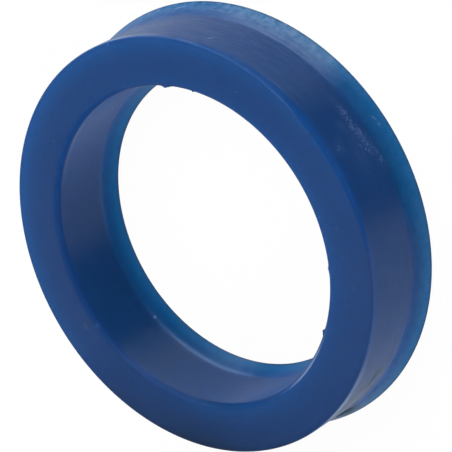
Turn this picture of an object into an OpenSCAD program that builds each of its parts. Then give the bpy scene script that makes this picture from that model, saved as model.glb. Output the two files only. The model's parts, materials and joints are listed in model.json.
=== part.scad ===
// Lip seal ring with a U-shaped section, moulded in one piece from soft polyurethane.
// It lies on its lip ends with the heel up. Z is the ring's axis and z = 0 is where it rests.

/* [Heel] */
// Diameter of the straight bore wall
bore_d = 60.3; // [40:0.1:120]
// Radial width of the heel, from the bore wall to the straight outer wall
heel_w = 9.3; // [8:0.1:12]
// Thickness from the heel face to the bottom of the groove
heel_h = 9.4; // [7:0.1:11]
// Length of the straight walls, from the heel face to where the lips start to flare
wall_l = 12.5; // [11:0.1:14]
// Rounding of the heel's outer edge
outer_edge_r = 0.4; // [0.1:0.1:2]
// Rounding of the heel's bore edge
bore_edge_r = 0.9; // [0.1:0.1:2]

/* [Lips] */
// How far the outer sealing edge stands out from the outer wall
outer_flare_w = 1.55; // [0.8:0.05:2.5]
// How far the inner sealing edge stands in from the bore wall
inner_flare_w = 1.45; // [0.8:0.05:2.5]
// Height of the flared stretch, from the straight walls to the sealing edges
flare_h = 3.7; // [2.5:0.1:5]
// Radius of the hollow where the straight walls turn into the lips
flare_r = 1.5; // [0.3:0.1:4]
// Height of the bevel from a sealing edge to the lip's end
bevel_h = 0.4; // [0.1:0.05:1]
// Radial width of that bevel
bevel_w = 1; // [0.3:0.1:1.6]
// Width of the flat land on the lip's end, which the ring rests on
land_w = 0.7; // [0.3:0.1:1.4]

/* [Groove] */
// Radius of the groove's round bottom
groove_r = 1.8; // [0.8:0.1:2.4]

/* [Hidden] */

$fn = 180;

// Polyurethane blue of the thick heel
seal_blue = "#274F8F";

// Heights
flare_z = bevel_h + flare_h;
height = flare_z + wall_l;
groove_z = height - heel_h;

// Radii
bore_radius = bore_d / 2;
heel_radius = bore_radius + heel_w;
outer_lip_radius = heel_radius + outer_flare_w;
inner_lip_radius = bore_radius - inner_flare_w;
lip_end_w = bevel_w + land_w;

// Corners of the section, as [radius, height]
heel_outer = [heel_radius, height];
heel_bore = [bore_radius, height];
outer_flare = [heel_radius, flare_z];
inner_flare = [bore_radius, flare_z];
outer_seal = [outer_lip_radius, bevel_h];
inner_seal = [inner_lip_radius, bevel_h];
outer_bevel_end = [outer_lip_radius - bevel_w, 0];
inner_bevel_end = [inner_lip_radius + bevel_w, 0];

// Mouth and round bottom of the groove
outer_mouth = [outer_lip_radius - lip_end_w, 0];
inner_mouth = [inner_lip_radius + lip_end_w, 0];
groove_centre = [bore_radius + heel_w / 2, groove_z - groove_r];
mouth_drop = 1;

// Depth by which a round cut runs into its walls, so that they always meet
overlap = 0.002;

// Unit vector along v
function unit(v) = v / norm(v);

// Half of the angle at a corner between its two neighbours
function half_angle(corner, a, b) = acos(unit(a - corner) * unit(b - corner)) / 2;

// Point on the side from a corner towards a, where an arc that rounds the corner starts
function arc_start(corner, a, b, radius) =
    corner + unit(a - corner) * radius / tan(half_angle(corner, a, b));

// Centre of the arc that rounds a corner
function arc_centre(corner, a, b, radius) =
    corner + unit(unit(a - corner) + unit(b - corner)) * radius / sin(half_angle(corner, a, b));

// Point where the line from point p touches the circle, on its left (side 1) or right (side -1)
function touch_point(p, centre, radius, side) =
    let (
        out = unit(p - centre),
        turn = side * acos(radius / norm(p - centre))
    )
    centre + radius * [
        out.x * cos(turn) - out.y * sin(turn),
        out.x * sin(turn) + out.y * cos(turn)
    ];

// Point on the line from p through q, carried on to height z
function carried_to(p, q, z) = p + (q - p) * (z - p.y) / (q.y - p.y);

// Disc that leaves a hollow arc at a corner between a and b
module hollow_arc(corner, a, b, radius) {
    translate(arc_centre(corner, a, b, radius))
        circle(r = radius + overlap);
}

// Sliver between a corner and the arc that rounds it off
module corner_sliver(corner, a, b, radius) {
    difference() {
        polygon([corner, arc_start(corner, a, b, radius), arc_start(corner, b, a, radius)]);
        hollow_arc(corner, a, b, radius);
    }
}

// Groove between the lips: flanks that run into a round bottom
module groove_section() {
    outer_touch = touch_point(outer_mouth, groove_centre, groove_r - overlap, 1);
    inner_touch = touch_point(inner_mouth, groove_centre, groove_r - overlap, -1);
    polygon([
        carried_to(outer_touch, outer_mouth, -mouth_drop),
        outer_touch,
        groove_centre,
        inner_touch,
        carried_to(inner_touch, inner_mouth, -mouth_drop)
    ]);
    translate(groove_centre)
        circle(r = groove_r);
}

// Section before its groove and arcs, with a flat across each hollow arc
module blank_section() {
    polygon([
        heel_bore,
        heel_outer,
        arc_start(outer_flare, heel_outer, outer_seal, flare_r),
        arc_start(outer_flare, outer_seal, heel_outer, flare_r),
        outer_seal,
        outer_bevel_end,
        inner_bevel_end,
        inner_seal,
        arc_start(inner_flare, inner_seal, heel_bore, flare_r),
        arc_start(inner_flare, heel_bore, inner_seal, flare_r)
    ]);
}

// Whole section: heel, walls, flared lips and the groove between them
module ring_section() {
    difference() {
        blank_section();
        hollow_arc(outer_flare, heel_outer, outer_seal, flare_r);
        hollow_arc(inner_flare, heel_bore, inner_seal, flare_r);
        corner_sliver(heel_outer, heel_bore, outer_flare, outer_edge_r);
        corner_sliver(heel_bore, heel_outer, inner_flare, bore_edge_r);
        groove_section();
    }
}

// The seal, turned from its section
module seal_ring() {
    color(seal_blue)
        rotate_extrude()
            ring_section();
}

seal_ring();
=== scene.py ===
"""Looks of a moulded polyurethane lip seal ring, lying heel up on a pale floor.

Lengths are in millimetres for the section, its marks and its masks, and in metres for the scene.
"""
import json
import logging
import math
from dataclasses import dataclass
from enum import Enum
from functools import partial

import bpy
import numpy as np
from bpy.types import Material, Node, NodeSocket, NodeTree, Object, World
from mathutils import Matrix, Vector


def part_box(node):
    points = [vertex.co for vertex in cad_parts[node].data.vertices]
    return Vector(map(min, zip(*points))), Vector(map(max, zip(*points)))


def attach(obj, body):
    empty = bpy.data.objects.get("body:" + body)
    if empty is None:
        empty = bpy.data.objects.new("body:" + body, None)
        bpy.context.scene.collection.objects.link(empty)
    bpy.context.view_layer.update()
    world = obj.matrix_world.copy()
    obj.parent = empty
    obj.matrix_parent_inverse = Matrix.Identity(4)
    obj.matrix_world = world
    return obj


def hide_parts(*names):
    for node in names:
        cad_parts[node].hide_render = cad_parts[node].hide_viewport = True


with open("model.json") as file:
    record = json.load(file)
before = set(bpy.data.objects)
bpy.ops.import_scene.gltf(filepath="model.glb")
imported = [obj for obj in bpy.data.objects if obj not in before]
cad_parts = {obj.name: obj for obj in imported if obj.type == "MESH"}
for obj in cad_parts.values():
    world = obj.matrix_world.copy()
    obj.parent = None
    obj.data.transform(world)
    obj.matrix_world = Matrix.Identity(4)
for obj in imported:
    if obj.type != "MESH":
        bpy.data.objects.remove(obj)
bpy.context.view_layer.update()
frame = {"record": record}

LOG = logging.getLogger("lip_seal")
MM = 0.001
IMAGE_SIDE = 452

Array = np.ndarray
# pairs of an angle in degrees and a value, with the angles rising
Stations = tuple[tuple[float, float], ...]
# where something starts to change and where it ends
Limits = tuple[float, float]

# sockets of a mix node: two colours and their mix, or two numbers
COLOUR_A, COLOUR_B, COLOUR_MIX = 6, 7, 2
NUMBER_A, NUMBER_B = 2, 3


def linear(hex_colour: str) -> tuple[float, float, float, float]:
    """Turns an sRGB colour into linear light.

    Args:
        hex_colour: Colour as #RRGGBB.

    Returns:
        Linear red, green, blue and an alpha of 1.
    """
    coded = np.array([int(hex_colour[i:i + 2], 16) for i in (1, 3, 5)]) / 255
    light = np.where(coded <= 0.04045, coded / 12.92, ((coded + 0.055) / 1.055) ** 2.4)
    return (*light.tolist(), 1.0)


def empty_tree(owner: Material | World) -> NodeTree:
    """Turns on the nodes of a material or the world, and empties them."""
    owner.use_nodes = True
    owner.node_tree.nodes.clear()
    return owner.node_tree


def add_node(tree: NodeTree, kind: str, sockets: dict | None = None, **settings: object) -> Node:
    """Adds one shader node with its settings, constants and links.

    Args:
        tree: Node tree of a material or the world.
        kind: Blender's name of the node type, without its ShaderNode.
        sockets: Values for its inputs, by name or number; an output, or a node's first one, is linked.
        settings: Properties of the node, by name.

    Returns:
        The new node.
    """
    node = tree.nodes.new("ShaderNode" + kind)
    for name, value in settings.items():
        setattr(node, name, value)
    for key, value in (sockets or {}).items():
        value = value.outputs[0] if isinstance(value, Node) else value
        if isinstance(value, NodeSocket):
            tree.links.new(value, node.inputs[key])
        else:
            node.inputs[key].default_value = value
    return node


def smooth_step(low: float, high: float, value: Array) -> Array:
    """Rises smoothly from 0 at low to 1 at high, as 3t^2 - 2t^3."""
    t = np.clip((value - low) / (high - low), 0, 1)
    return t * t * (3 - 2 * t)


def bell(offset: Array, width: float) -> Array:
    """Falls softly from 1 where there is no offset, as exp(-(offset / width)^2)."""
    return np.exp(-(offset / width) ** 2)


def turn_between(angle: Array, centre: float) -> Array:
    """Signed angle from centre, in degrees from -180 to 180."""
    return (angle - centre + 180) % 360 - 180


def between_stations(stations: Stations, angle: Array) -> Array:
    """Value round the ring that passes smoothly from one station to the next.

    Between two stations it is a + (b - a)(3t^2 - 2t^3), with t from 0 to 1; the last station leads to the first.

    Args:
        stations: Pairs of an angle in degrees, rising, and a value.
        angle: Angles round the ring, in degrees from 0 to 360.

    Returns:
        Value at each angle.
    """
    degrees = np.array([place for place, _ in stations] + [stations[0][0] + 360])
    values = np.array([value for _, value in stations] + [stations[0][1]])
    turned = (angle - degrees[0]) % 360 + degrees[0]
    k = np.clip(np.searchsorted(degrees, turned, "right") - 1, 0, len(stations) - 1)
    t = (turned - degrees[k]) / (degrees[k + 1] - degrees[k])
    return values[k] + (values[k + 1] - values[k]) * t * t * (3 - 2 * t)


@dataclass(frozen=True)
class Corner:
    """Corner of the section, in millimetres, with the arc that rounds it and the side that follows."""

    radius: Array | float
    height: Array | float
    rounding: Array | float
    arc_rows: int
    side_rows: int


@dataclass(frozen=True)
class SealSection:
    """Section of the seal in millimetres: heel, straight walls, flared lips and the groove between them.

    The heel's outer edge carries a bevel that trimming and wear have widened along a crescent. Its two legs are given
    at stations round the ring; worn_round is the share of its slope that rounds its lower corner.
    """

    bore_r: float
    wall_r: float
    lip_r: float
    height: float
    inner_flare_w: float = 1.45
    wall_l: float = 12.5
    bevel_h: float = 0.4
    bevel_w: float = 1.0
    land_w: float = 0.7
    outer_flare_r: float = 3.0
    inner_flare_r: float = 1.1
    inner_drop: float = 0.15
    heel_h: float = 9.4
    groove_r: float = 1.8
    bore_edge_r: float = 0.9
    sharp_edge_r: float = 0.12
    crisp: float = 0.14
    worn_round: float = 0.4
    worn_across: Stations = (
        (0, 0.2), (240, 0.2), (255, 0.5), (268, 0.8), (280, 0.85), (290, 0.42), (300, 0.28), (312, 0.22), (326, 0.2),
    )
    worn_down: Stations = (
        (0, 0.2), (240, 0.2), (255, 0.5), (268, 0.85), (280, 1.3), (290, 1.4), (300, 1.3), (312, 0.9), (326, 0.2),
    )

    @property
    def flare_z(self) -> float:
        """Height at which the walls turn into the lips."""
        return self.height - self.wall_l

    def groove_apex(self) -> Array:
        """Point where the groove's two flanks would meet above its round bottom.

        Each flank is the tangent from a lip's land to the circle of the round bottom.

        Returns:
            Radius and height of that point.
        """
        centre = np.array([(self.bore_r + self.wall_r) / 2, self.height - self.heel_h - self.groove_r])
        lip_end = self.bevel_w + self.land_w
        mouths = (np.array([self.lip_r - lip_end, 0]), np.array([self.bore_r - self.inner_flare_w + lip_end, 0]))
        flanks = []
        for mouth, side in zip(mouths, (1, -1)):
            away = mouth - centre
            reach = np.linalg.norm(away)
            turn = side * math.acos(self.groove_r / reach)
            cos, sin = math.cos(turn), math.sin(turn)
            touch = centre + self.groove_r / reach * np.array([[cos, -sin], [sin, cos]]) @ away
            flanks.append(touch - mouth)
        share = np.linalg.solve(np.column_stack((flanks[0], -flanks[1])), mouths[1] - mouths[0])[0]
        return mouths[0] + share * flanks[0]

    def corners(self, angle: Array) -> list[Corner]:
        """Corners in order: up the groove's outer flank, round the outer lip, over the heel and back by the bore.

        Args:
            angle: Angles round the ring, in degrees, for the edge that is worn.

        Returns:
            The corners, each with its rounding.
        """
        inner_r = self.bore_r - self.inner_flare_w
        lip_end = self.bevel_w + self.land_w
        apex = self.groove_apex()
        fine = self.sharp_edge_r
        across, down = between_stations(self.worn_across, angle), between_stations(self.worn_down, angle)
        low_turn, high_turn = np.arctan2(across, down), np.arctan2(down, across)
        low_round = self.worn_round * np.hypot(across, down) / np.tan(low_turn / 2)
        high_round = self.crisp / np.tan(high_turn / 2)
        return [
            Corner(apex[0], apex[1], self.groove_r, 11, 2),
            Corner(self.lip_r - lip_end, 0, fine, 3, 1),
            Corner(self.lip_r - self.bevel_w, 0, fine, 3, 1),
            Corner(self.lip_r, self.bevel_h, fine, 5, 7),
            Corner(self.wall_r, self.flare_z, self.outer_flare_r, 7, 20),
            Corner(self.wall_r, self.height - down, low_round, 5, 1),
            Corner(self.wall_r - across, self.height, high_round, 5, 10),
            Corner(self.bore_r, self.height, self.bore_edge_r, 14, 8),
            Corner(self.bore_r, self.flare_z - self.inner_drop, self.inner_flare_r, 8, 6),
            Corner(inner_r, self.bevel_h, fine, 5, 1),
            Corner(inner_r + self.bevel_w, 0, fine, 3, 1),
            Corner(inner_r + lip_end, 0, fine, 3, 2),
        ]

    def rows(self, angle: Array) -> Array:
        """Carries the rounded section round the ring.

        Each corner is an arc about a centre on its bisector: centre plus rounding times a unit vector that turns
        from one side's normal to the other's. Straight sides join the arcs, with points that crowd at their ends.

        Args:
            angle: Angles of the columns, in degrees.

        Returns:
            Radius and height in millimetres, as an array of rows by columns by 2.
        """
        corners = self.corners(angle)
        count = len(corners)
        flat = np.zeros_like(angle)
        places = np.stack([np.stack((corner.radius + flat, corner.height + flat), -1) for corner in corners])
        back, ahead = np.roll(places, 1, 0) - places, np.roll(places, -1, 0) - places
        back /= np.linalg.norm(back, axis=-1, keepdims=True)
        ahead /= np.linalg.norm(ahead, axis=-1, keepdims=True)
        half = np.arccos(np.sum(back * ahead, -1, keepdims=True)) / 2
        middle = (back + ahead) / np.linalg.norm(back + ahead, axis=-1, keepdims=True)
        first = back / np.tan(half) - middle / np.sin(half)
        last = ahead / np.tan(half) - middle / np.sin(half)
        sweep = math.pi - 2 * half
        arcs = []
        for k, corner in enumerate(corners):
            t = np.linspace(0, 1, corner.arc_rows)[:, None, None]
            turned = (np.sin((1 - t) * sweep[k]) * first[k] + np.sin(t * sweep[k]) * last[k]) / np.sin(sweep[k])
            rounding = np.broadcast_to(corner.rounding, angle.shape)[None, :, None]
            arcs.append(places[k] + rounding * (middle[k] / np.sin(half[k]) + turned))
        parts = []
        for k, corner in enumerate(corners):
            parts.append(arcs[k])
            t = np.arange(1, corner.side_rows + 1) / (corner.side_rows + 1)
            t = ((1 - np.cos(math.pi * t)) / 2)[:, None, None]
            parts.append((1 - t) * arcs[k][-1] + t * arcs[(k + 1) % count][0])
        return np.concatenate(parts)


@dataclass(frozen=True)
class Burr:
    """Bit of flash left on the heel's bore edge: it stands into the bore, in millimetres, at an angle in degrees."""

    angle: float
    length: float
    reach: float


class WearKind(Enum):
    """Kinds of mark on the surface: pale and dark wear, and for a few spots a painted highlight and painted shade."""

    SCUFF_AND_HIGHLIGHT = "scuff_and_highlight"
    DIRT_AND_SHADE = "dirt_and_shade"


SCUFF_AND_HIGHLIGHT, DIRT_AND_SHADE = WearKind.SCUFF_AND_HIGHLIGHT, WearKind.DIRT_AND_SHADE


@dataclass(frozen=True)
class WearPatch:
    """Patch of wear on the outer wall: angle in degrees, depth below the heel and size in millimetres."""

    kind: WearKind
    angle: float
    depth: float
    along: float
    across: float
    amount: float = 1.0
    slant: float = 0.0

    def mask(self, angle: Array, radius: Array, depth: Array) -> Array:
        """Soft mask of the patch: amount times exp(-(u/along)^2 - (v/across)^2), in axes turned by its slant.

        Args:
            angle: Angle of each point, in degrees.
            radius: Radius of each point, in millimetres.
            depth: Depth of each point below the heel, in millimetres.

        Returns:
            Mask from 0 to amount.
        """
        u = np.radians(turn_between(angle, self.angle)) * radius
        v = depth - self.depth
        tilt = math.radians(self.slant)
        along, across = u * math.cos(tilt) + v * math.sin(tilt), v * math.cos(tilt) - u * math.sin(tilt)
        return self.amount * np.exp(-(along / self.along) ** 2 - (across / self.across) ** 2)


@dataclass(frozen=True)
class Mark:
    """Small pale or dark mark: angle and slant in degrees, radius, height and half sizes in millimetres.

    The slant turns its long side from the direction round the ring, about the ring's axis on the heel and about the
    wall's own normal on a wall. An amount above 1 widens the part of the mark that is at full strength.
    """

    kind: WearKind
    angle: float
    radius: float
    height: float
    along: float
    across: float
    amount: float = 1.0
    slant: float = 0.0
    thick: float = 0.6

    def place(self, on_heel: bool) -> dict:
        """Place, turn and size of the mark, as the sockets of a mapping node.

        Args:
            on_heel: Whether the mark lies on the heel face rather than on a wall.

        Returns:
            Location, rotation and scale, in metres and radians.
        """
        turn, slant = math.radians(self.angle), math.radians(self.slant)
        where = (self.radius * math.cos(turn) * MM, self.radius * math.sin(turn) * MM, self.height * MM)
        if on_heel:
            return {"Location": where, "Rotation": (0.0, 0.0, turn + slant),
                    "Scale": (self.across * MM, self.along * MM, self.thick * MM)}
        return {"Location": where, "Rotation": (slant, 0.0, turn),
                "Scale": (self.thick * MM, self.along * MM, self.across * MM)}


@dataclass(frozen=True)
class CastPolyurethane:
    """Blue cast polyurethane straight from a polished mould.

    To the eye it is a deep satin blue with a soft sheen, with pale scuffs and a few dirty streaks. Its colours
    paint light too: the lips lighter and greener where light passes through them, a glow at the heel's edges and
    a faint, streaky grey haze of painted sheen and highlights; a few small spots paint the shade and highlight of
    a dent, the shade of a nick and a highlight in a crease.
    """

    name: str = "cast polyurethane"
    body: str = "#163F77"
    # lighter, greener blue that paints the light passing through the thin lips
    lip: str = "#145A8C"
    # paints the glow of light showing through the heel's edges
    glow: str = "#165A9E"
    # pale grey of the painted sheen and highlights, with a streaky haze
    film_and_sheen: str = "#8A9CBA"
    # pale scuffs, and spots of painted highlight on a dent and in a crease
    scuff_and_highlight: str = "#7C9CC6"
    # grime, and spots of painted shade in a dent and a nick
    dirt_and_shade: str = "#273A48"
    roughness: float = 0.24
    ior: float = 1.5
    scatter_mm: tuple[float, float, float] = (0.5, 1.2, 1.6)
    streak_mm: float = 0.4
    streak_draw: float = 0.09
    mottle_mm: float = 1.3
    # the real speckle and grain are finer than the picture can show, so both are drawn as coarse as they need to be
    speckle_mm: float = 0.5
    grain_mm: float = 0.4
    grain_depth_mm: float = 0.02
    grain_strength: float = 0.1
    scuff_roughness: float = 0.4
    heel_mm: float = 16.3
    mark_core: float = 0.3
    mark_end: float = 1.3
    # angle, radius, height, along, across, amount and slant of each mark
    marks: tuple[Mark, ...] = tuple(Mark(kind, *row) for kind, rows in (
        (SCUFF_AND_HIGHLIGHT, (
            # the first spot paints the lit side of a small dent in the heel
            (95.6, 33.25, 16.6, 0.75, 0.5, 0.07), (97.6, 30.7, 16.6, 0.6, 0.5, 0.07),
            (348.7, 38.9, 16.6, 0.15, 0.15, 0.4), (303.9, 34.3, 16.6, 0.14, 0.14, 0.2),
            (29.0, 33.2, 16.6, 0.2, 0.2, 0.1), (232.4, 33.7, 16.6, 0.3, 0.25, 0.06),
            (229.8, 34.2, 16.6, 0.4, 0.2, 0.05), (236.0, 35.5, 16.6, 0.3, 0.3, 0.04),
            (244.8, 34.2, 16.6, 0.5, 0.3, 0.04), (253.6, 34.2, 16.6, 0.5, 0.4, 0.04),
            (161.6, 32.7, 16.6, 0.2, 0.2, 0.07), (226.5, 39.45, 13.7, 0.4, 0.2, 0.06, 80),
            (318.5, 39.45, 12.8, 1.4, 0.18, 0.09, 59), (340.0, 40.4, 1.8, 1.5, 0.2, 0.22, 8),
            (348.2, 40.6, 1.4, 0.8, 0.25, 0.15), (275.2, 40.25, 2.2, 0.8, 0.2, 0.12, 20),
            # the second spot paints a highlight where the bore's crease line starts
            (273.2, 40.3, 2.0, 0.45, 0.2, 0.14), (105.6, 30.0, 3.85, 0.34, 0.4, 0.36),
        )),
        (DIRT_AND_SHADE, (
            # the first spot paints the shade in that dent, the next line's first two the shade in a nick at the
            # heel's edge
            (95.2, 32.35, 16.6, 0.75, 0.42, 0.7), (333.9, 33.4, 16.6, 0.16, 0.75, 0.6),
            (281.6, 38.5, 16.6, 0.3, 0.15, 0.6), (279.6, 38.55, 16.6, 0.5, 0.2, 0.8),
            (203.8, 39.45, 9.0, 2.8, 0.46, 1.6), (205.3, 39.45, 7.55, 1.5, 0.3, 1.1),
            (200.8, 39.45, 10.65, 1.3, 0.3, 1.0), (199.6, 39.45, 13.2, 1.1, 0.24, 1.0, -16),
            (197.6, 39.45, 10.5, 1.0, 0.3, 1.0), (211.5, 39.45, 13.2, 1.0, 0.22, 1.0),
            (181.2, 39.8, 3.0, 3.4, 1.4, 1.1), (184.6, 39.45, 5.4, 2.4, 1.6, 0.5, 40),
            (311.0, 40.8, 0.9, 0.4, 0.25, 0.6),
        )),
    ) for row in rows)

    def build(self) -> Material:
        """Builds the material from the piece's own attributes.

        The colours lie in layers: the blue body, then the lips' greener blue and the glow, which paint light passing
        through the lips and the heel's edges, all toned by a factor of painted light and shade; over them lie the
        grey haze of painted sheen and highlights, the grime and the scuffs, a few spots of which paint shade or a
        highlight.
        The dark marks take the gloss away, and the pale ones roughen it.

        Returns:
            The finished material.
        """
        material = bpy.data.materials.new(self.name)
        add = partial(add_node, empty_tree(material))
        masks = {name: add("Attribute", attribute_name=name).outputs["Fac"]
                 for name in ("thin", "glow", "light_and_shade", "gloss", "film_and_sheen", "painted_highlights", "scuff_and_highlight", "dirt_and_shade")}
        around = add("Attribute", attribute_name="around_mm").outputs["Vector"]
        position = add("TexCoord").outputs["Object"]

        # streaks run round the ring, so their pattern is drawn out in x and y and fine across the section
        drawn = add("Mapping", {"Vector": around, "Scale": (self.streak_draw, self.streak_draw, 1.0)})
        patterns = {}
        for name, vector, size_mm, detail, roughness in (
            ("streaks", drawn, self.streak_mm, 5.0, 0.6),
            ("speckle", around, self.speckle_mm, 3.0, 0.65),
            ("mottle", around, self.mottle_mm, 4.0, 0.6),
            ("grain", around, self.grain_mm, 2.0, 0.5),
        ):
            patterns[name] = add("TexNoise", {
                "Vector": vector, "Scale": 1 / size_mm, "Detail": detail, "Roughness": roughness,
            }).outputs["Fac"]
        patterns["cloud"] = add("Mix", {
            "Factor": masks["thin"], NUMBER_A: patterns["streaks"], NUMBER_B: patterns["mottle"],
        }, data_type="FLOAT")
        shares = {}
        for name, pattern, reads, gives in (
            ("tone", "mottle", (0.3, 0.7), (0.94, 1.06)),
            ("sheen_veil", "cloud", (0.42, 0.66), (0.0, 0.12)),
            ("grime", "streaks", (0.46, 0.54), (1.0, 0.0)),
            ("chafe", "speckle", (0.42, 0.7), (0.03, 0.22)),
            ("drag", "streaks", (0.46, 0.66), (0.0, 0.06)),
            ("wall gloss", "streaks", (0.35, 0.65), (0.36, 0.64)),
            ("lip gloss", "mottle", (0.35, 0.65), (0.3, 0.7)),
        ):
            shares[name] = add("MapRange", {
                "Value": patterns[pattern], "From Min": reads[0], "From Max": reads[1],
                "To Min": gives[0], "To Max": gives[1],
            })

        # painted sheen: streaky grey haze on walls and lips, plus the painted highlights along edges and creases
        sheen_veil = add("Math", {0: shares["sheen_veil"], 1: masks["film_and_sheen"], 2: masks["painted_highlights"]}, operation="MULTIPLY_ADD")
        scraped = add("Math", {0: shares["chafe"], 1: shares["drag"]}, operation="ADD")
        wear = {kind: add("Math", {0: share, 1: masks[kind.value]}, operation="MULTIPLY", use_clamp=True)
                for kind, share in ((DIRT_AND_SHADE, shares["grime"]), (SCUFF_AND_HIGHLIGHT, scraped))}
        # a few mark spots paint the shade in a dent and a nick, and highlights, rather than wear
        for mark in self.marks:
            place = mark.place(mark.height > self.heel_mm)
            local = add("Mapping", {"Vector": position, **place}, vector_type="TEXTURE")
            off = add("VectorMath", {0: local}, operation="LENGTH")
            spot = add("MapRange", {
                "Value": off.outputs["Value"], "From Min": self.mark_core, "From Max": self.mark_end,
                "To Min": mark.amount, "To Max": 0.0,
            }, interpolation_type="SMOOTHSTEP")
            wear[mark.kind] = add("Math", {0: wear[mark.kind], 1: spot}, operation="MAXIMUM")
        grime, chafe = wear[DIRT_AND_SHADE], wear[SCUFF_AND_HIGHLIGHT]

        # the lips' greener blue paints light passing through the lips, and the glow colour light through the heel's
        # edges
        colour = linear(self.body)
        for share, over in ((masks["thin"], self.lip), (masks["glow"], self.glow)):
            colour = add("Mix", {
                "Factor": share, COLOUR_A: colour, COLOUR_B: linear(over),
            }, data_type="RGBA").outputs[COLOUR_MIX]
        # the mottle's random tone times the painted light and shade of the body
        tone = add("Math", {0: shares["tone"], 1: masks["light_and_shade"]}, operation="MULTIPLY")
        colour = add("VectorMath", {0: colour, "Scale": tone}, operation="SCALE")
        # over them the painted sheen and highlights, the grime and the scuffs, a few spots of which paint shade or a
        # highlight
        for share, over in ((sheen_veil, self.film_and_sheen), (grime, self.dirt_and_shade), (chafe, self.scuff_and_highlight)):
            colour = add("Mix", {
                "Factor": share, COLOUR_A: colour, COLOUR_B: linear(over),
            }, data_type="RGBA").outputs[COLOUR_MIX]

        dulled = add("Math", {0: chafe, 1: self.scuff_roughness, 2: self.roughness}, operation="MULTIPLY_ADD")
        uneven = add("Mix", {
            "Factor": masks["thin"], NUMBER_A: shares["wall gloss"], NUMBER_B: shares["lip gloss"],
        }, data_type="FLOAT")
        clean = add("MapRange", {"Value": grime, "To Min": 1.0, "To Max": 0.0})
        level = masks["gloss"]
        for share in (uneven, clean):
            level = add("Math", {0: level, 1: share}, operation="MULTIPLY")
        bump = add("Bump", {
            "Height": patterns["grain"], "Strength": self.grain_strength, "Distance": self.grain_depth_mm * MM,
        })
        shader = add("BsdfPrincipled", {
            "Base Color": colour,
            "Roughness": dulled,
            "IOR": self.ior,
            "Specular IOR Level": level,
            "Subsurface Weight": 1.0,
            "Subsurface Radius": self.scatter_mm,
            "Subsurface Scale": MM,
            "Normal": bump,
        }, subsurface_method="RANDOM_WALK")
        add("OutputMaterial", {"Surface": shader})
        return material


@dataclass(frozen=True)
class FloorPaint:
    """Matt white floor: bright to the camera, with the seal's soft shadow left on it."""

    name: str = "matt white paint"
    colour: str = "#F4F4F4"
    glow: float = 0.965

    def build(self) -> Material:
        """Builds the floor's material.

        Returns:
            The finished material.
        """
        material = bpy.data.materials.new(self.name)
        add = partial(add_node, empty_tree(material))
        path = add("LightPath").outputs
        seen = path["Is Camera Ray"]
        for other in ("Is Glossy Ray", "Is Transmission Ray"):
            seen = add("Math", {0: seen, 1: path[other]}, operation="ADD", use_clamp=True)
        share = add("Math", {0: seen, 1: self.glow}, operation="MULTIPLY")
        matt = add("BsdfDiffuse", {"Color": linear(self.colour)})
        white = add("Emission", {"Strength": 1.0})
        mixed = add("MixShader", {"Fac": share, 1: matt, 2: white})
        add("OutputMaterial", {"Surface": mixed})
        return material


@dataclass(frozen=True)
class Band:
    """Soft band round the ring, along an edge or a crease.

    Its strength round the ring comes from stations. Across the section it is a bell of a width, about a centre that
    lies off the edge or crease, in millimetres.
    """

    stations: Stations
    width: float
    centre: float = 0.0

    def share(self, angle: Array, distance: Array) -> Array:
        """Strength at each point, from its angle and its distance from the edge or crease."""
        return between_stations(self.stations, angle) * bell(distance - self.centre, self.width)


@dataclass(frozen=True)
class Zones:
    """Place of each point, in degrees and millimetres, and its share from 0 to 1 of the section's zones."""

    angle: Array
    radius: Array
    depth: Array
    above_flare: Array
    above_rim: Array
    from_bore: Array
    from_edge: Array
    outside: Array
    inside: Array
    sideways: Array
    thin: Array
    below_edge: Array
    wall: Array
    heel: Array
    bore_edge: Array
    crease: Array
    # painted sheen on the heel near the bore
    sheen_veil: Array

    def at(self, stations: Stations) -> Array:
        """Value of some stations at the points' angles."""
        return between_stations(stations, self.angle)


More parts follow.
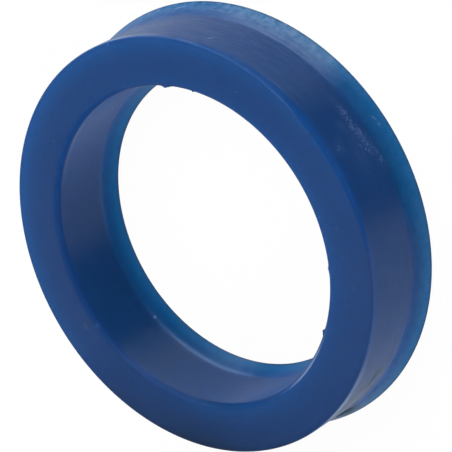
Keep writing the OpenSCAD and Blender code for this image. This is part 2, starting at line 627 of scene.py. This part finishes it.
@dataclass
class SealRing:
    """The whole seal, moulded as one piece.

    Stations and bands tell how its painted light and shade, its painted sheen and highlights and its gloss
    change round the ring. Lengths are in millimetres.
    """

    section: SealSection
    finish: CastPolyurethane
    columns: int = 640
    outside_in: float = 0.6
    inside_out: float = 0.3
    lip_limits: Limits = (0.5, 0.4)
    wall_limits: Limits = (0.3, 2.0)
    heel_limits: Limits = (0.05, 0.3)
    edge_across: Limits = (0.9, 1.25)
    edge_down: Limits = (0.7, 1.15)
    # painted glow of light through the heel's outer and bore edges, stronger on the lit side
    outer_glow: Stations = (
        (0, 0.95), (30, 1.12), (60, 1.12), (90, 0.85), (108, 0.15), (120, 0), (250, 0), (268, 0.3), (285, 0.55),
        (300, 0.6), (330, 0.88),
    )
    glow_side: Stations = ((0, 1), (235, 1), (252, 0), (292, 0), (308, 0.5), (322, 1))
    bore_glow: Stations = (
        (0, 0.12), (30, 0), (95, 0), (128, 0.06), (150, 0.5), (180, 0.5), (210, 0.32), (240, 0.42), (270, 0.46),
        (300, 0.28), (330, 0.24),
    )
    glow_share: float = 0.64
    glow_reach: float = 1.9
    glow_flat: float = 1.0
    glow_fade: Limits = (0.1, 0.5)
    edge_squeeze: float = 3.0
    # painted light and shade in the body's colour: shade on the heel's darker side, light on the lips and walls
    outer_shade: Stations = ((0, 0), (100, 0), (120, 0.28), (148, 0.58), (168, 0.3), (190, 0.1), (220, 0))
    shade_reach: float = 6.5
    lip_gain: float = 0.5
    lip_gain_fade: Limits = (-0.2, 2.0)
    bore_gain: float = 0.6
    front_shade: float = 0.12
    lip_spared: float = 0.85
    outer_gain: Stations = (
        (0, 0.45), (185, 0), (212, 0), (228, -0.06), (255, -0.06), (272, 0), (285, 0), (300, 0.07), (315, 0.12),
        (330, 0.2), (345, 0.4),
    )
    lip_light_and_shade: Stations = (
        (0, 0.03), (50, 0.05), (76, 0.1), (108, 0.12), (124, 0.18), (140, 0.2), (156, 0.05), (172, 0.02),
        (188, -0.1), (204, -0.08), (218, -0.06), (232, 0), (248, 0), (260, 0.06), (275, 0.12), (291, 0.15),
        (305, 0.04), (320, 0), (335, -0.06), (346, -0.1), (354, -0.08),
    )
    heel_shade: Stations = ((0, -0.07), (30, -0.04), (245, -0.04), (275, -0.08), (330, -0.09))
    # painted sheen on the heel by the bore, with the body shaded under it
    heel_sheen: Stations = (
        (0, 0.004), (30, 0.012), (60, 0.018), (90, 0.02), (115, 0.006), (150, 0), (185, 0.003), (210, 0.012),
        (240, 0.016), (268, 0.008), (295, 0.002), (330, 0),
    )
    heel_sheen_fade: Limits = (0.5, 1.3)
    heel_sheen_shade: float = 3.0
    # painted shade along the heel's outer edge
    heel_rim_shade: float = 0.45
    heel_rim_reach: float = 0.3
    # painted light and shade on the bore wall and along its edge
    bore_shade: Stations = (
        (0, 0), (30, 0.02), (50, 0.06), (70, 0.07), (92, 0.1), (107, 0.08), (117, -0.02), (132, -0.06), (146, -0.03),
        (158, 0),
    )
    bore_edge_shade: Stations = (
        (0, 0.05), (30, 0.05), (60, 0.12), (76, 0.15), (92, 0.16), (104, 0.12), (118, 0.02), (124, 0), (140, 0.06),
        (156, 0.18), (172, 0.12), (195, 0), (345, 0),
    )
    # painted glow of the lips' greener blue on the bore wall
    bore_glow_tint: Stations = ((0, 0), (60, 0.05), (76, 0.14), (92, 0.2), (108, 0.14), (124, 0))
    bore_gloss: Stations = ((0, 1), (90, 1), (100, 0.6), (112, 0.58), (124, 0.85), (140, 0.75), (156, 0.9), (172, 1))
    bore_edge_dull: Stations = (
        (0, 0.6), (15, 1), (102, 1), (113, 0.55), (122, 0.55), (132, 0.75), (148, 0.75), (165, 1), (180, 0.2),
        (195, 0), (345, 0),
    )
    bore_edge_dulling: float = 0.9
    inner_lip_gloss: Stations = (
        (0, 0.8), (28, 0.6), (44, 0.4), (60, 0.3), (92, 0.25), (124, 0.22), (140, 0.5), (156, 0.3), (172, 0.6),
        (200, 0.9),
    )
    inner_lip_fade: Limits = (-0.9, -0.35)
    # painted light in the inner crease: a brighter body, a highlight line and the lips' greener glow
    inner_crease: Band = Band(((0, 1),), 0.55, -0.25)
    inner_crease_gain: Stations = (
        (0, 0.2), (60, 0.2), (78, 0.12), (95, 0.12), (112, 0.3), (140, 0.4), (160, 0.15), (180, 0), (330, 0),
    )
    inner_crease_highlight: Stations = (
        (0, 0.05), (12, 0.05), (28, 0.03), (60, 0.03), (76, 0), (98, 0), (108, 0.06), (124, 0.12), (140, 0.1),
        (156, 0), (330, 0),
    )
    inner_crease_glow: Stations = (
        (0, 0.2), (20, 0.1), (60, 0.15), (76, 0.1), (92, 0.1), (108, 0.2), (124, 0.4), (142, 0.4), (156, 0),
        (330, 0),
    )
    # painted light and shade at the outer crease
    outer_crease_gain: Band = Band((
        (0, 0.4), (180, 0.5), (198, 0.45), (212, 0.3), (235, 0.1), (248, 0.06), (258, -0.1), (270, -0.1),
        (280, 0.06), (290, 0.25), (320, 0.25), (335, 0.1), (350, 0.2),
    ), 0.9)
    outer_crease_dull: Band = Band((
        (0, 0), (180, 0), (190, 0.8), (206, 0.8), (222, 0.25), (238, 0), (256, 0.9), (274, 0.8), (290, 0),
    ), 1.0, -0.5)
    # painted glow of the lips' greener blue at the outer crease
    outer_crease_glow: Band = Band(((0, 0), (240, 0), (258, 0.4), (276, 0.4), (292, 0.1), (304, 0)), 1.2, -0.4)
    # painted shade along the lips' sealing edges
    lip_rim_shade: Band = Band(((0, 0.8),), 0.24)
    lip_rim_dull: Band = Band(((0, 0.9),), 0.3)
    # painted sheen along the lips' ends
    lip_sheen: Band = Band((
        (0, 0.01), (28, 0.05), (60, 0.055), (76, 0.085), (108, 0.08), (124, 0.035), (140, 0.025), (172, 0.04),
        (188, 0), (208, 0), (227, 0.04), (243, 0.055), (275, 0.05), (291, 0.06), (307, 0.02), (323, 0), (340, 0),
    ), 0.6)
    # painted highlights and sheen along the heel's outer edge, the outer wall's top and the bore's edge
    edge_highlight: Band = Band(((0, 0), (284, 0), (292, 0.14), (304, 0.09), (318, 0.13), (330, 0.08), (345, 0)), 0.12)
    edge_sheen: Band = Band((
        (0, 0.5), (20, 0), (179, 0), (189, 0.52), (198, 0.66), (206, 0.32), (218, 0.04), (235, 0), (326, 0),
        (338, 0.35), (346, 0.7),
    ), 0.9, 0.7)
    edge_sheen_fade: Limits = (0.0, 0.15)
    bore_highlight: Band = Band(((0, 0.12), (12, 0.2), (24, 0.24), (36, 0.12), (48, 0), (335, 0), (348, 0.1)), 0.35, 1.2)
    rim_highlight: Band = Band((
        (0, 0), (181, 0), (187, 0.12), (191, 0.45), (196, 0.8), (202, 0.9), (208, 0.6), (213, 0.25), (222, 0),
    ), 0.17, 0.53)
    rim_sheen: Band = Band((
        (0, 0), (40, 0.012), (60, 0.02), (76, 0.004), (88, 0), (100, 0.012), (107, 0.024), (114, 0.055),
        (134, 0.055), (148, 0.045), (160, 0.02), (172, 0),
    ), 0.32, 0.53)
    rim_depth: float = 0.6
    # streaky grey haze, mostly painted sheen, on the walls, lips and heel
    wall_film_and_sheen: Stations = (
        (0, 0.7), (18, 0.25), (160, 0.25), (182, 0.9), (203, 1.1), (214, 0.5), (230, 0.2), (258, 0.08), (285, 0.15),
        (310, 0.5), (328, 0.8), (345, 0.9),
    )
    lip_film_and_sheen: Stations = (
        (0, 1.2), (20, 0.5), (160, 0.35), (176, 0.3), (188, 0), (212, 0), (228, 0.2), (240, 0.2), (270, 0.3),
        (295, 0.8), (312, 1.3), (330, 1.7), (346, 1.6),
    )
    heel_film_and_sheen: float = 0.06
    worn_dulling: float = 0.85
    worn_starts: Limits = (0.25, 0.6)
    worn_in: float = 0.9
    worn_fade: Limits = (0.0, 0.5)
    worn_top: Limits = (0.02, 0.12)
    burr_ridge: tuple[float, float] = (0.1, 0.5)
    burr_w: float = 0.16
    burr_crowding: float = 3.0
    burr_room: float = 2.0
    burrs: tuple[Burr, ...] = (
        Burr(331.6, 2.1, 0.5), Burr(320.2, 0.5, 0.28), Burr(240.0, 1.6, 0.22), Burr(216.4, 1.3, 0.45),
    )
    # angle, depth, along, across, amount and slant of each patch
    patches: tuple[WearPatch, ...] = tuple(WearPatch(kind, *row) for kind, rows in (
        (SCUFF_AND_HIGHLIGHT, (
            (284.4, 9.4, 2.2, 0.7, 0.45, -6), (280.2, 9.6, 1.6, 0.75, 0.9, -10), (277.2, 9.4, 1.5, 0.8, 0.7, -8),
            (274.6, 9.7, 1.3, 0.8, 1.1, -16), (271.9, 10.4, 1.7, 1.0, 0.75, -28), (268.4, 10.9, 1.7, 1.1, 0.6, -28),
            (269.8, 9.2, 1.8, 1.0, 0.5, -20), (265.2, 11.7, 1.2, 0.7, 0.55, -20), (263.2, 11.0, 1.2, 0.8, 0.3),
            (277.8, 7.0, 1.2, 0.9, 0.45), (273.2, 3.2, 1.4, 1.5, 0.5), (274.4, 8.0, 2.4, 1.6, 0.3),
            (267.5, 7.0, 3.4, 2.4, 0.36), (205.2, 13.95, 2.2, 0.7, 0.3), (333.2, 14.4, 2.0, 0.5, 0.4),
            (318, 13.3, 1.6, 0.5, 0.4), (309, 14.6, 2.6, 0.9, 0.3),
        )),
        (DIRT_AND_SHADE, ((203.5, 7.2, 3.2, 1.8, 0.5), (187.5, 8.0, 1.8, 2.6, 1.6), (179.4, 13.9, 3.3, 1.5, 1.6))),
    ) for row in rows)

    def angles(self) -> Array:
        """Angles of the columns, in degrees, closer together at the burrs.

        The spacing follows the inverse of a density: 1 plus a bell round each burr, summed up and evened out.

        Returns:
            Rising angles from 0 to 360.
        """
        samples = 7201
        fine = np.linspace(0, 360, samples)
        density = np.ones_like(fine)
        for burr in self.burrs:
            density += self.burr_crowding * bell(turn_between(fine, burr.angle), self.burr_room + burr.length)
        total = np.concatenate(([0.0], np.cumsum((density[1:] + density[:-1]) / 2)))
        return np.interp(np.arange(self.columns) / self.columns * total[-1], total, fine)

    def with_burrs(self, rows: Array, angle: Array) -> Array:
        """Pulls flash out of the bore edge.

        Each burr moves points towards the axis by reach times a narrow bell across the edge and a ragged bell,
        exp(-1.5u^2)(0.85 + 0.15 sin 5u), along it.

        Args:
            rows: Radius and height of its rows, in millimetres.
            angle: Angles of the columns, in degrees.

        Returns:
            The rows with their burrs.
        """
        section = self.section
        ridge_r, ridge_z = section.bore_r + self.burr_ridge[0], section.height - self.burr_ridge[1]
        off = np.hypot(rows[..., 0] - ridge_r, rows[..., 1] - ridge_z)
        across = bell(off, self.burr_w)
        moved = rows.copy()
        for burr in self.burrs:
            u = np.radians(turn_between(angle, burr.angle)) * section.bore_r / (burr.length / 2)
            moved[..., 0] -= burr.reach * across * np.exp(-u ** 2 * 1.5) * (0.85 + 0.15 * np.sin(5 * u))
        return moved

    def zones(self, rows: Array, angle: Array) -> Zones:
        """Finds the zones that the masks are made of.

        sideways is cos(angle)^4, and from_edge is the distance from the heel's outer edge with its depth drawn out.

        Args:
            rows: Radius and height of its rows, in millimetres.
            angle: Angle of each column, in degrees.

        Returns:
            The zones of all points.
        """
        section = self.section
        radius, height = rows[..., 0], rows[..., 1]
        depth, from_bore, above_flare = section.height - height, radius - section.bore_r, height - section.flare_z
        inside = from_bore < self.inside_out
        thin = 1 - smooth_step(self.lip_limits[0], section.flare_z + self.lip_limits[1], height)
        below_edge = smooth_step(*self.wall_limits, depth)
        heel = 1 - smooth_step(*self.heel_limits, depth)
        return Zones(
            angle=angle, radius=radius, depth=depth, above_flare=above_flare, above_rim=height - section.bevel_h,
            from_bore=from_bore, from_edge=np.hypot(section.wall_r - radius, self.edge_squeeze * depth),
            outside=radius > section.wall_r - self.outside_in, inside=inside,
            sideways=np.cos(np.radians(angle)) ** 4, thin=thin, below_edge=below_edge, wall=below_edge * (1 - thin),
            heel=heel,
            bore_edge=(1 - smooth_step(*self.edge_across, from_bore)) * (1 - smooth_step(*self.edge_down, depth)),
            crease=self.inner_crease.share(angle, above_flare) * inside,
            sheen_veil=heel * smooth_step(*self.heel_sheen_fade, from_bore) * between_stations(self.heel_sheen, angle),
        )

    def light_and_shade(self, zones: Zones) -> Array:
        """Factor on the body's colour.

        It adds the painted light on lips, walls, heel and creases and takes off the painted shade along their
        edges; the painted shade across the heel fades from the outer wall as exp(-distance / reach).

        Args:
            zones: Zones of the ring's points.

        Returns:
            Factor at each point.
        """
        angle, outside, inside, wall, thin = zones.angle, zones.outside, zones.inside, zones.wall, zones.thin
        sideways, heel = zones.sideways, zones.heel
        height = self.section.height - zones.depth
        light_and_shade = 1 + self.lip_gain * thin * smooth_step(*self.lip_gain_fade, height) * sideways
        light_and_shade += zones.crease * zones.at(self.inner_crease_gain)
        light_and_shade += self.outer_crease_gain.share(angle, zones.above_flare) * outside
        light_and_shade += heel * zones.at(self.heel_shade) - self.heel_sheen_shade * zones.sheen_veil
        light_and_shade += wall * (self.bore_gain * inside * sideways - self.front_shade * (1 - sideways))
        light_and_shade += outside * zones.below_edge * zones.at(self.outer_gain) * (1 - self.lip_spared * thin)
        light_and_shade += thin * zones.at(self.lip_light_and_shade) - inside * wall * zones.at(self.bore_shade)
        light_and_shade -= self.lip_rim_shade.share(angle, zones.above_rim)
        light_and_shade = light_and_shade * (1 - self.heel_rim_shade * np.exp(-zones.from_edge / self.heel_rim_reach))
        light_and_shade -= zones.bore_edge * zones.at(self.bore_edge_shade)
        return light_and_shade - zones.at(self.outer_shade) * np.exp(-(self.section.wall_r - zones.radius) / self.shade_reach)

    def dullness(self, zones: Zones) -> Array:
        """Share of the gloss that is lost on the worn bevel, the lips, the creases and the bore.

        Args:
            zones: Zones of the ring's points.

        Returns:
            Share at each point, which may pass 1.
        """
        section, angle, depth = self.section, zones.angle, zones.depth
        down = zones.at(section.worn_down)
        worn = smooth_step(*self.worn_starts, down) * (zones.radius > section.wall_r - self.worn_in)
        worn = worn * (1 - smooth_step(*self.worn_fade, depth - down))
        inner_lip = (zones.from_bore < 0) * (1 - smooth_step(*self.inner_lip_fade, zones.above_flare))
        dull = self.worn_dulling * worn * smooth_step(*self.worn_top, depth)
        dull += inner_lip * (1 - zones.at(self.inner_lip_gloss))
        dull += self.outer_crease_dull.share(angle, zones.above_flare) * zones.outside
        dull += zones.inside * zones.wall * (1 - zones.at(self.bore_gloss))
        dull += self.bore_edge_dulling * zones.bore_edge * zones.at(self.bore_edge_dull)
        return dull + self.lip_rim_dull.share(angle, zones.above_rim) * zones.outside

    def painted_highlights(self, zones: Zones) -> Array:
        """Painted highlights and sheen: pale lines and hazes along the edges, the creases and the lips.

        Args:
            zones: Zones of the ring's points.

        Returns:
            Share of the pale sheen colour at each point.
        """
        section, angle, depth = self.section, zones.angle, zones.depth
        bevel = np.hypot(zones.radius - section.wall_r + zones.at(section.worn_across), depth)
        near_top = depth < self.rim_depth
        painted_highlights = self.edge_highlight.share(angle, bevel)
        painted_highlights += self.edge_sheen.share(angle, depth) * zones.outside * smooth_step(*self.edge_sheen_fade, depth)
        painted_highlights += self.bore_highlight.share(angle, depth) * zones.inside
        for rim in (self.rim_highlight, self.rim_sheen):
            painted_highlights += rim.share(angle, zones.from_bore) * near_top
        painted_highlights += zones.sheen_veil + zones.crease * zones.at(self.inner_crease_highlight)
        return painted_highlights + self.lip_sheen.share(angle, zones.above_rim)

    def glow(self, zones: Zones) -> Array:
        """Painted glow of light that shows through the heel's edges, stronger on the lit side,
        fading from each as exp(-distance / reach).

        Args:
            zones: Zones of the ring's points.

        Returns:
            Share of the glow's colour at each point.
        """
        outer = np.maximum(zones.from_edge - self.glow_flat, 0)
        lit = zones.at(self.outer_glow) * self.glow_share * np.exp(-outer / self.glow_reach)
        lit = lit * (1 - smooth_step(*self.glow_fade, zones.depth) * zones.at(self.glow_side))
        bore = np.hypot(zones.from_bore - self.section.bore_edge_r, self.edge_squeeze * zones.depth)
        return lit + zones.at(self.bore_glow) * np.exp(-bore / self.glow_reach)

    def masks(self, rows: Array, angle: Array) -> dict[str, Array]:
        """Masks for the material, one value for each point.

        thin rises down the lips, whose greener blue paints the light passing through them, and that painted glow is
        added on the bore wall and in the creases; the streaky grey haze of walls, lips and heel is mostly painted
        sheen; the pale and dark wear masks are the sums of their patches.

        Args:
            rows: Radius and height of its rows, in millimetres.
            angle: Angle of each column, in degrees.

        Returns:
            Arrays of rows by columns, by name.
        """
        zones = self.zones(rows, angle)
        outside, thin = zones.outside, zones.thin
        # painted glow of the lips' greener blue on the bore wall and at both creases
        glow_tint = zones.inside * zones.wall * zones.at(self.bore_glow_tint) + zones.crease * zones.at(self.inner_crease_glow)
        glow_tint = glow_tint + self.outer_crease_glow.share(angle, zones.above_flare) * outside
        film_and_sheen = zones.wall * outside * zones.at(self.wall_film_and_sheen) + self.heel_film_and_sheen * zones.heel
        masks = {
            "thin": np.clip(thin + glow_tint, 0, 1),
            "glow": np.clip(self.glow(zones), 0, 1),
            "light_and_shade": self.light_and_shade(zones),
            "gloss": np.clip(1 - self.dullness(zones), 0, 1),
            "film_and_sheen": film_and_sheen + thin * outside * zones.at(self.lip_film_and_sheen),
            "painted_highlights": self.painted_highlights(zones),
        }
        for kind in WearKind:
            patches = [patch.mask(angle, zones.radius, zones.depth) for patch in self.patches if patch.kind is kind]
            masks[kind.value] = np.sum(patches, 0) * outside
        return masks

    def build(self) -> Object:
        """Makes the ring's mesh, its attributes and its material.

        A point of row i and column j stands at radius r and height z of the section, turned by the column's angle:
        x = r cos(angle), y = r sin(angle). Rows and columns both close on themselves.

        Returns:
            The new object.
        """
        section = self.section
        angle = self.angles()
        rows = section.rows(angle)
        steps = np.linalg.norm(np.diff(rows.mean(1), axis=0), axis=1)
        along = np.concatenate(([0.0], np.cumsum(steps)))
        rows = self.with_burrs(rows, angle)
        radius, height = rows[..., 0], rows[..., 1]
        turn = np.radians(angle)
        points = np.stack((radius * np.cos(turn), radius * np.sin(turn), height), -1)
        around = points.copy()
        around[..., 2] = along[:, None]

        masks = self.masks(rows, angle)
        count = radius.shape
        index = np.arange(count[0] * count[1]).reshape(count)
        beside, above = np.roll(index, -1, 1), np.roll(index, -1, 0)
        corner = np.roll(above, -1, 1)
        faces = np.stack((index, beside, corner, above), -1).reshape(-1, 4)

        mesh = bpy.data.meshes.new("seal_ring_visual")
        mesh.from_pydata((points.reshape(-1, 3) * MM).tolist(), [], faces.tolist())
        mesh.polygons.foreach_set("use_smooth", np.ones(len(faces), dtype=bool))
        store = mesh.attributes.new("around_mm", "FLOAT_VECTOR", "POINT")
        store.data.foreach_set("vector", around.reshape(-1).astype(np.float32))
        for name, mask in masks.items():
            store = mesh.attributes.new(name, "FLOAT", "POINT")
            store.data.foreach_set("value", mask.reshape(-1).astype(np.float32))
        mesh.update()
        mesh.materials.append(self.finish.build())
        ring = bpy.data.objects.new("seal_ring_moulded", mesh)
        bpy.context.scene.collection.objects.link(ring)
        LOG.info("seal ring: %d rows, %d columns, %d faces", count[0], count[1], len(faces))
        return ring


@dataclass(frozen=True)
class Softbox:
    """Soft rectangular lamp that points at the ring from an azimuth and an elevation, in degrees."""

    name: str
    azimuth: float
    elevation: float
    distance: float
    width: float
    tall: float
    radiance: float

    def build(self, target: Vector) -> Object:
        """Makes the lamp.

        Args:
            target: Point it faces.

        Returns:
            The new lamp.
        """
        turn, rise = math.radians(self.azimuth), math.radians(self.elevation)
        away = Vector((math.cos(turn) * math.cos(rise), math.sin(turn) * math.cos(rise), math.sin(rise)))
        lamp = bpy.data.lights.new(self.name, "AREA")
        lamp.shape = "RECTANGLE"
        lamp.size, lamp.size_y = self.width, self.tall
        lamp.energy = self.radiance * math.pi * self.width * self.tall
        made = bpy.data.objects.new(self.name, lamp)
        made.location = target + away * self.distance
        made.rotation_euler = away.to_track_quat("Z", "Y").to_euler()
        made.visible_camera = False
        made.visible_glossy = False
        bpy.context.scene.collection.objects.link(made)
        LOG.info("softbox: %s", self.name)
        return made


@dataclass
class Studio:
    """Pale floor, softboxes and the pale cove round them."""

    floor_side: float = 6.0
    floor_drop_mm: float = 0.02
    dome: float = 0.38
    opening: float = 0.03
    cove: Stations = ((-50, 0.38), (-20, 0.38), (10, 0.26), (60, 0.22))
    window: Stations = (
        (-50, 0.26), (-44, 0.26), (-40, 1.6), (-22, 1.6), (-18, 1.2), (-12, 2.5), (14, 2.5), (20, 0.3), (40, 0.22),
    )
    window_azimuths: tuple[Limits, Limits] = ((-62, -48), (-6, 16))
    opening_azimuths: tuple[Limits, Limits] = ((-140, -115), (-60, -48))
    cove_tint: tuple[float, float, float] = (0.97, 1.03, 1.03)
    window_tint: tuple[float, float, float] = (0.88, 1.04, 1.1)
    softboxes: tuple[Softbox, ...] = (
        Softbox("key softbox", -10, 18, 0.40, 0.60, 0.26, 1.3),
        Softbox("top softbox", -25, 60, 0.26, 0.24, 0.24, 2.75),
        Softbox("fill softbox", 205, 28, 0.45, 0.45, 0.42, 2.2),
    )

    def floor(self) -> Object:
        """Makes the floor as one flat sheet under the lip ends.

        Returns:
            The new object.
        """
        half = self.floor_side / 2
        drop = -self.floor_drop_mm * MM
        mesh = bpy.data.meshes.new("floor")
        corners = [(-half, -half, drop), (half, -half, drop), (half, half, drop), (-half, half, drop)]
        mesh.from_pydata(corners, [], [(0, 1, 2, 3)])
        mesh.materials.append(FloorPaint().build())
        sheet = bpy.data.objects.new("floor", mesh)
        sheet.visible_glossy = False
        bpy.context.scene.collection.objects.link(sheet)
        return sheet

    def surroundings(self) -> World:
        """Makes the world: a pale cove with a bright window to one side, open and dark behind the camera.

        Cove and window are ramps over the elevation, and smooth steps over the azimuth mix them.

        Returns:
            The new world.
        """
        world = bpy.data.worlds.new("cove")
        add = partial(add_node, empty_tree(world))
        towards = add("TexCoord").outputs["Generated"]
        parts = add("SeparateXYZ", {"Vector": towards}).outputs
        rise = add("Math", {0: parts["Z"]}, operation="ARCSINE")
        azimuth = add("Math", {0: parts["Y"], 1: parts["X"]}, operation="ARCTAN2")
        share = add("MapRange", {"Value": rise, "From Min": math.radians(-90), "From Max": math.radians(90)})
        levels = []
        for stops, glow_tint in ((self.cove, self.cove_tint), (self.window, self.window_tint)):
            ramp = add("ValToRGB", {"Fac": share})
            while len(ramp.color_ramp.elements) < len(stops):
                ramp.color_ramp.elements.new(1.0)
            for element, (degrees, level) in zip(ramp.color_ramp.elements, stops):
                element.position = (degrees + 90) / 180
                element.color = (*(level * share_of for share_of in glow_tint), 1)
            levels.append(ramp)
        masks = []
        for azimuths in (self.window_azimuths, self.opening_azimuths):
            edges = [add("MapRange", {
                "Value": azimuth, "From Min": math.radians(low), "From Max": math.radians(high),
            }, interpolation_type="SMOOTHSTEP") for low, high in azimuths]
            masks.append(add("Math", {0: edges[0], 1: edges[1]}, operation="SUBTRACT", use_clamp=True))
        dark = (self.opening, self.opening, self.opening, 1)
        even = (self.dome, self.dome, self.dome, 1)
        path = add("LightPath").outputs
        shown = add("Math", {
            0: path["Is Glossy Ray"], 1: path["Is Transmission Ray"],
        }, operation="ADD", use_clamp=True)
        # window over cove, the dark opening over both; other rays see the even dome, and the camera sees white
        seen = levels[0]
        for share, first, second in (
            (masks[0], None, levels[1]), (masks[1], None, dark), (shown, even, None),
            (path["Is Camera Ray"], None, (1, 1, 1, 1)),
        ):
            seen = add("Mix", {
                "Factor": share, COLOUR_A: first or seen, COLOUR_B: second or seen,
            }, data_type="RGBA").outputs[COLOUR_MIX]
        sky = add("Background", {"Color": seen, "Strength": 1.0})
        add("OutputWorld", {"Surface": sky})
        bpy.context.scene.world = world
        return world

    def build(self, target: Vector) -> None:
        """Makes the floor, the lamps and the cove.

        Args:
            target: Point that the lamps face.
        """
        self.floor()
        self.surroundings()
        for softbox in self.softboxes:
            softbox.build(target)
        LOG.info("studio: floor, cove and %d softboxes", len(self.softboxes))


@dataclass(frozen=True)
class PhotoView:
    """Camera at the photograph's viewing angle.

    The ring's axis leans from the line of sight by tilt, and roll turns it in the picture. The heel's centre stands
    at centre_px from the picture's middle, and a pixel there spans pixel_mm.
    """

    tilt: float = 0.755
    roll: float = 2.621
    focal_px: float = 2800.0
    centre_px: tuple[float, float] = (-37.65, 22.29)
    pixel_mm: float = 0.1779
    sensor_mm: float = 36.0

    def build(self, heel_centre: Vector) -> Object:
        """Makes the camera.

        In camera axes (right, down, forward), Z of the ring is a = (sin tilt cos roll, sin tilt sin roll, -cos tilt),
        X is u = (-sin roll, cos roll, 0) and Y is a cross u. The camera's own axes in the ring's frame are the rows
        of that turn, and it stands where the heel's centre has the place given above.

        Args:
            heel_centre: Centre of the heel face, in metres.

        Returns:
            The new camera.
        """
        axis = np.array([
            math.sin(self.tilt) * math.cos(self.roll), math.sin(self.tilt) * math.sin(self.roll),
            -math.cos(self.tilt),
        ])
        across = np.array([-math.sin(self.roll), math.cos(self.roll), 0])
        turn = np.column_stack((across, np.cross(axis, across), axis))
        heel = np.array([*self.centre_px, self.focal_px]) * self.pixel_mm * MM
        place = np.array(heel_centre) - turn.T @ heel
        pose = np.eye(4)
        pose[:3] = np.column_stack((turn[0], -turn[1], -turn[2], place))
        lens = bpy.data.cameras.new("photo view")
        lens.sensor_width = self.sensor_mm
        lens.lens = lens.sensor_width * self.focal_px / IMAGE_SIDE
        camera = bpy.data.objects.new("photo view", lens)
        camera.matrix_world = Matrix(pose.tolist())
        bpy.context.scene.collection.objects.link(camera)
        bpy.context.scene.camera = camera
        LOG.info("camera: %.0f mm lens", lens.lens)
        return camera


def mount_radius(name: str) -> float:
    """Radius in millimetres of one of the record's mounts.

    Args:
        name: Name of the mount.

    Returns:
        Its radius.
    """
    return next(float(mount["dims"]["r_mm"]) for mount in frame["record"]["mounts"] if mount["name"] == name)


def main() -> None:
    """Builds the camera, the seal and the studio."""
    logging.basicConfig(level=logging.INFO, format="%(message)s")
    bpy.context.scene.view_settings.view_transform = "Standard"
    _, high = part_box("seal_ring")
    section = SealSection(
        bore_r=mount_radius("rod_bore"), wall_r=mount_radius("housing_wall"),
        lip_r=float(high[0]) / MM, height=float(high[2]) / MM,
    )
    PhotoView().build(Vector((0, 0, high[2])))
    ring = SealRing(section, CastPolyurethane()).build()
    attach(ring, "root")
    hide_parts("seal_ring")
    Studio().build(Vector((0, 0, high[2] / 2)))


if __name__ == "__main__":
    main()
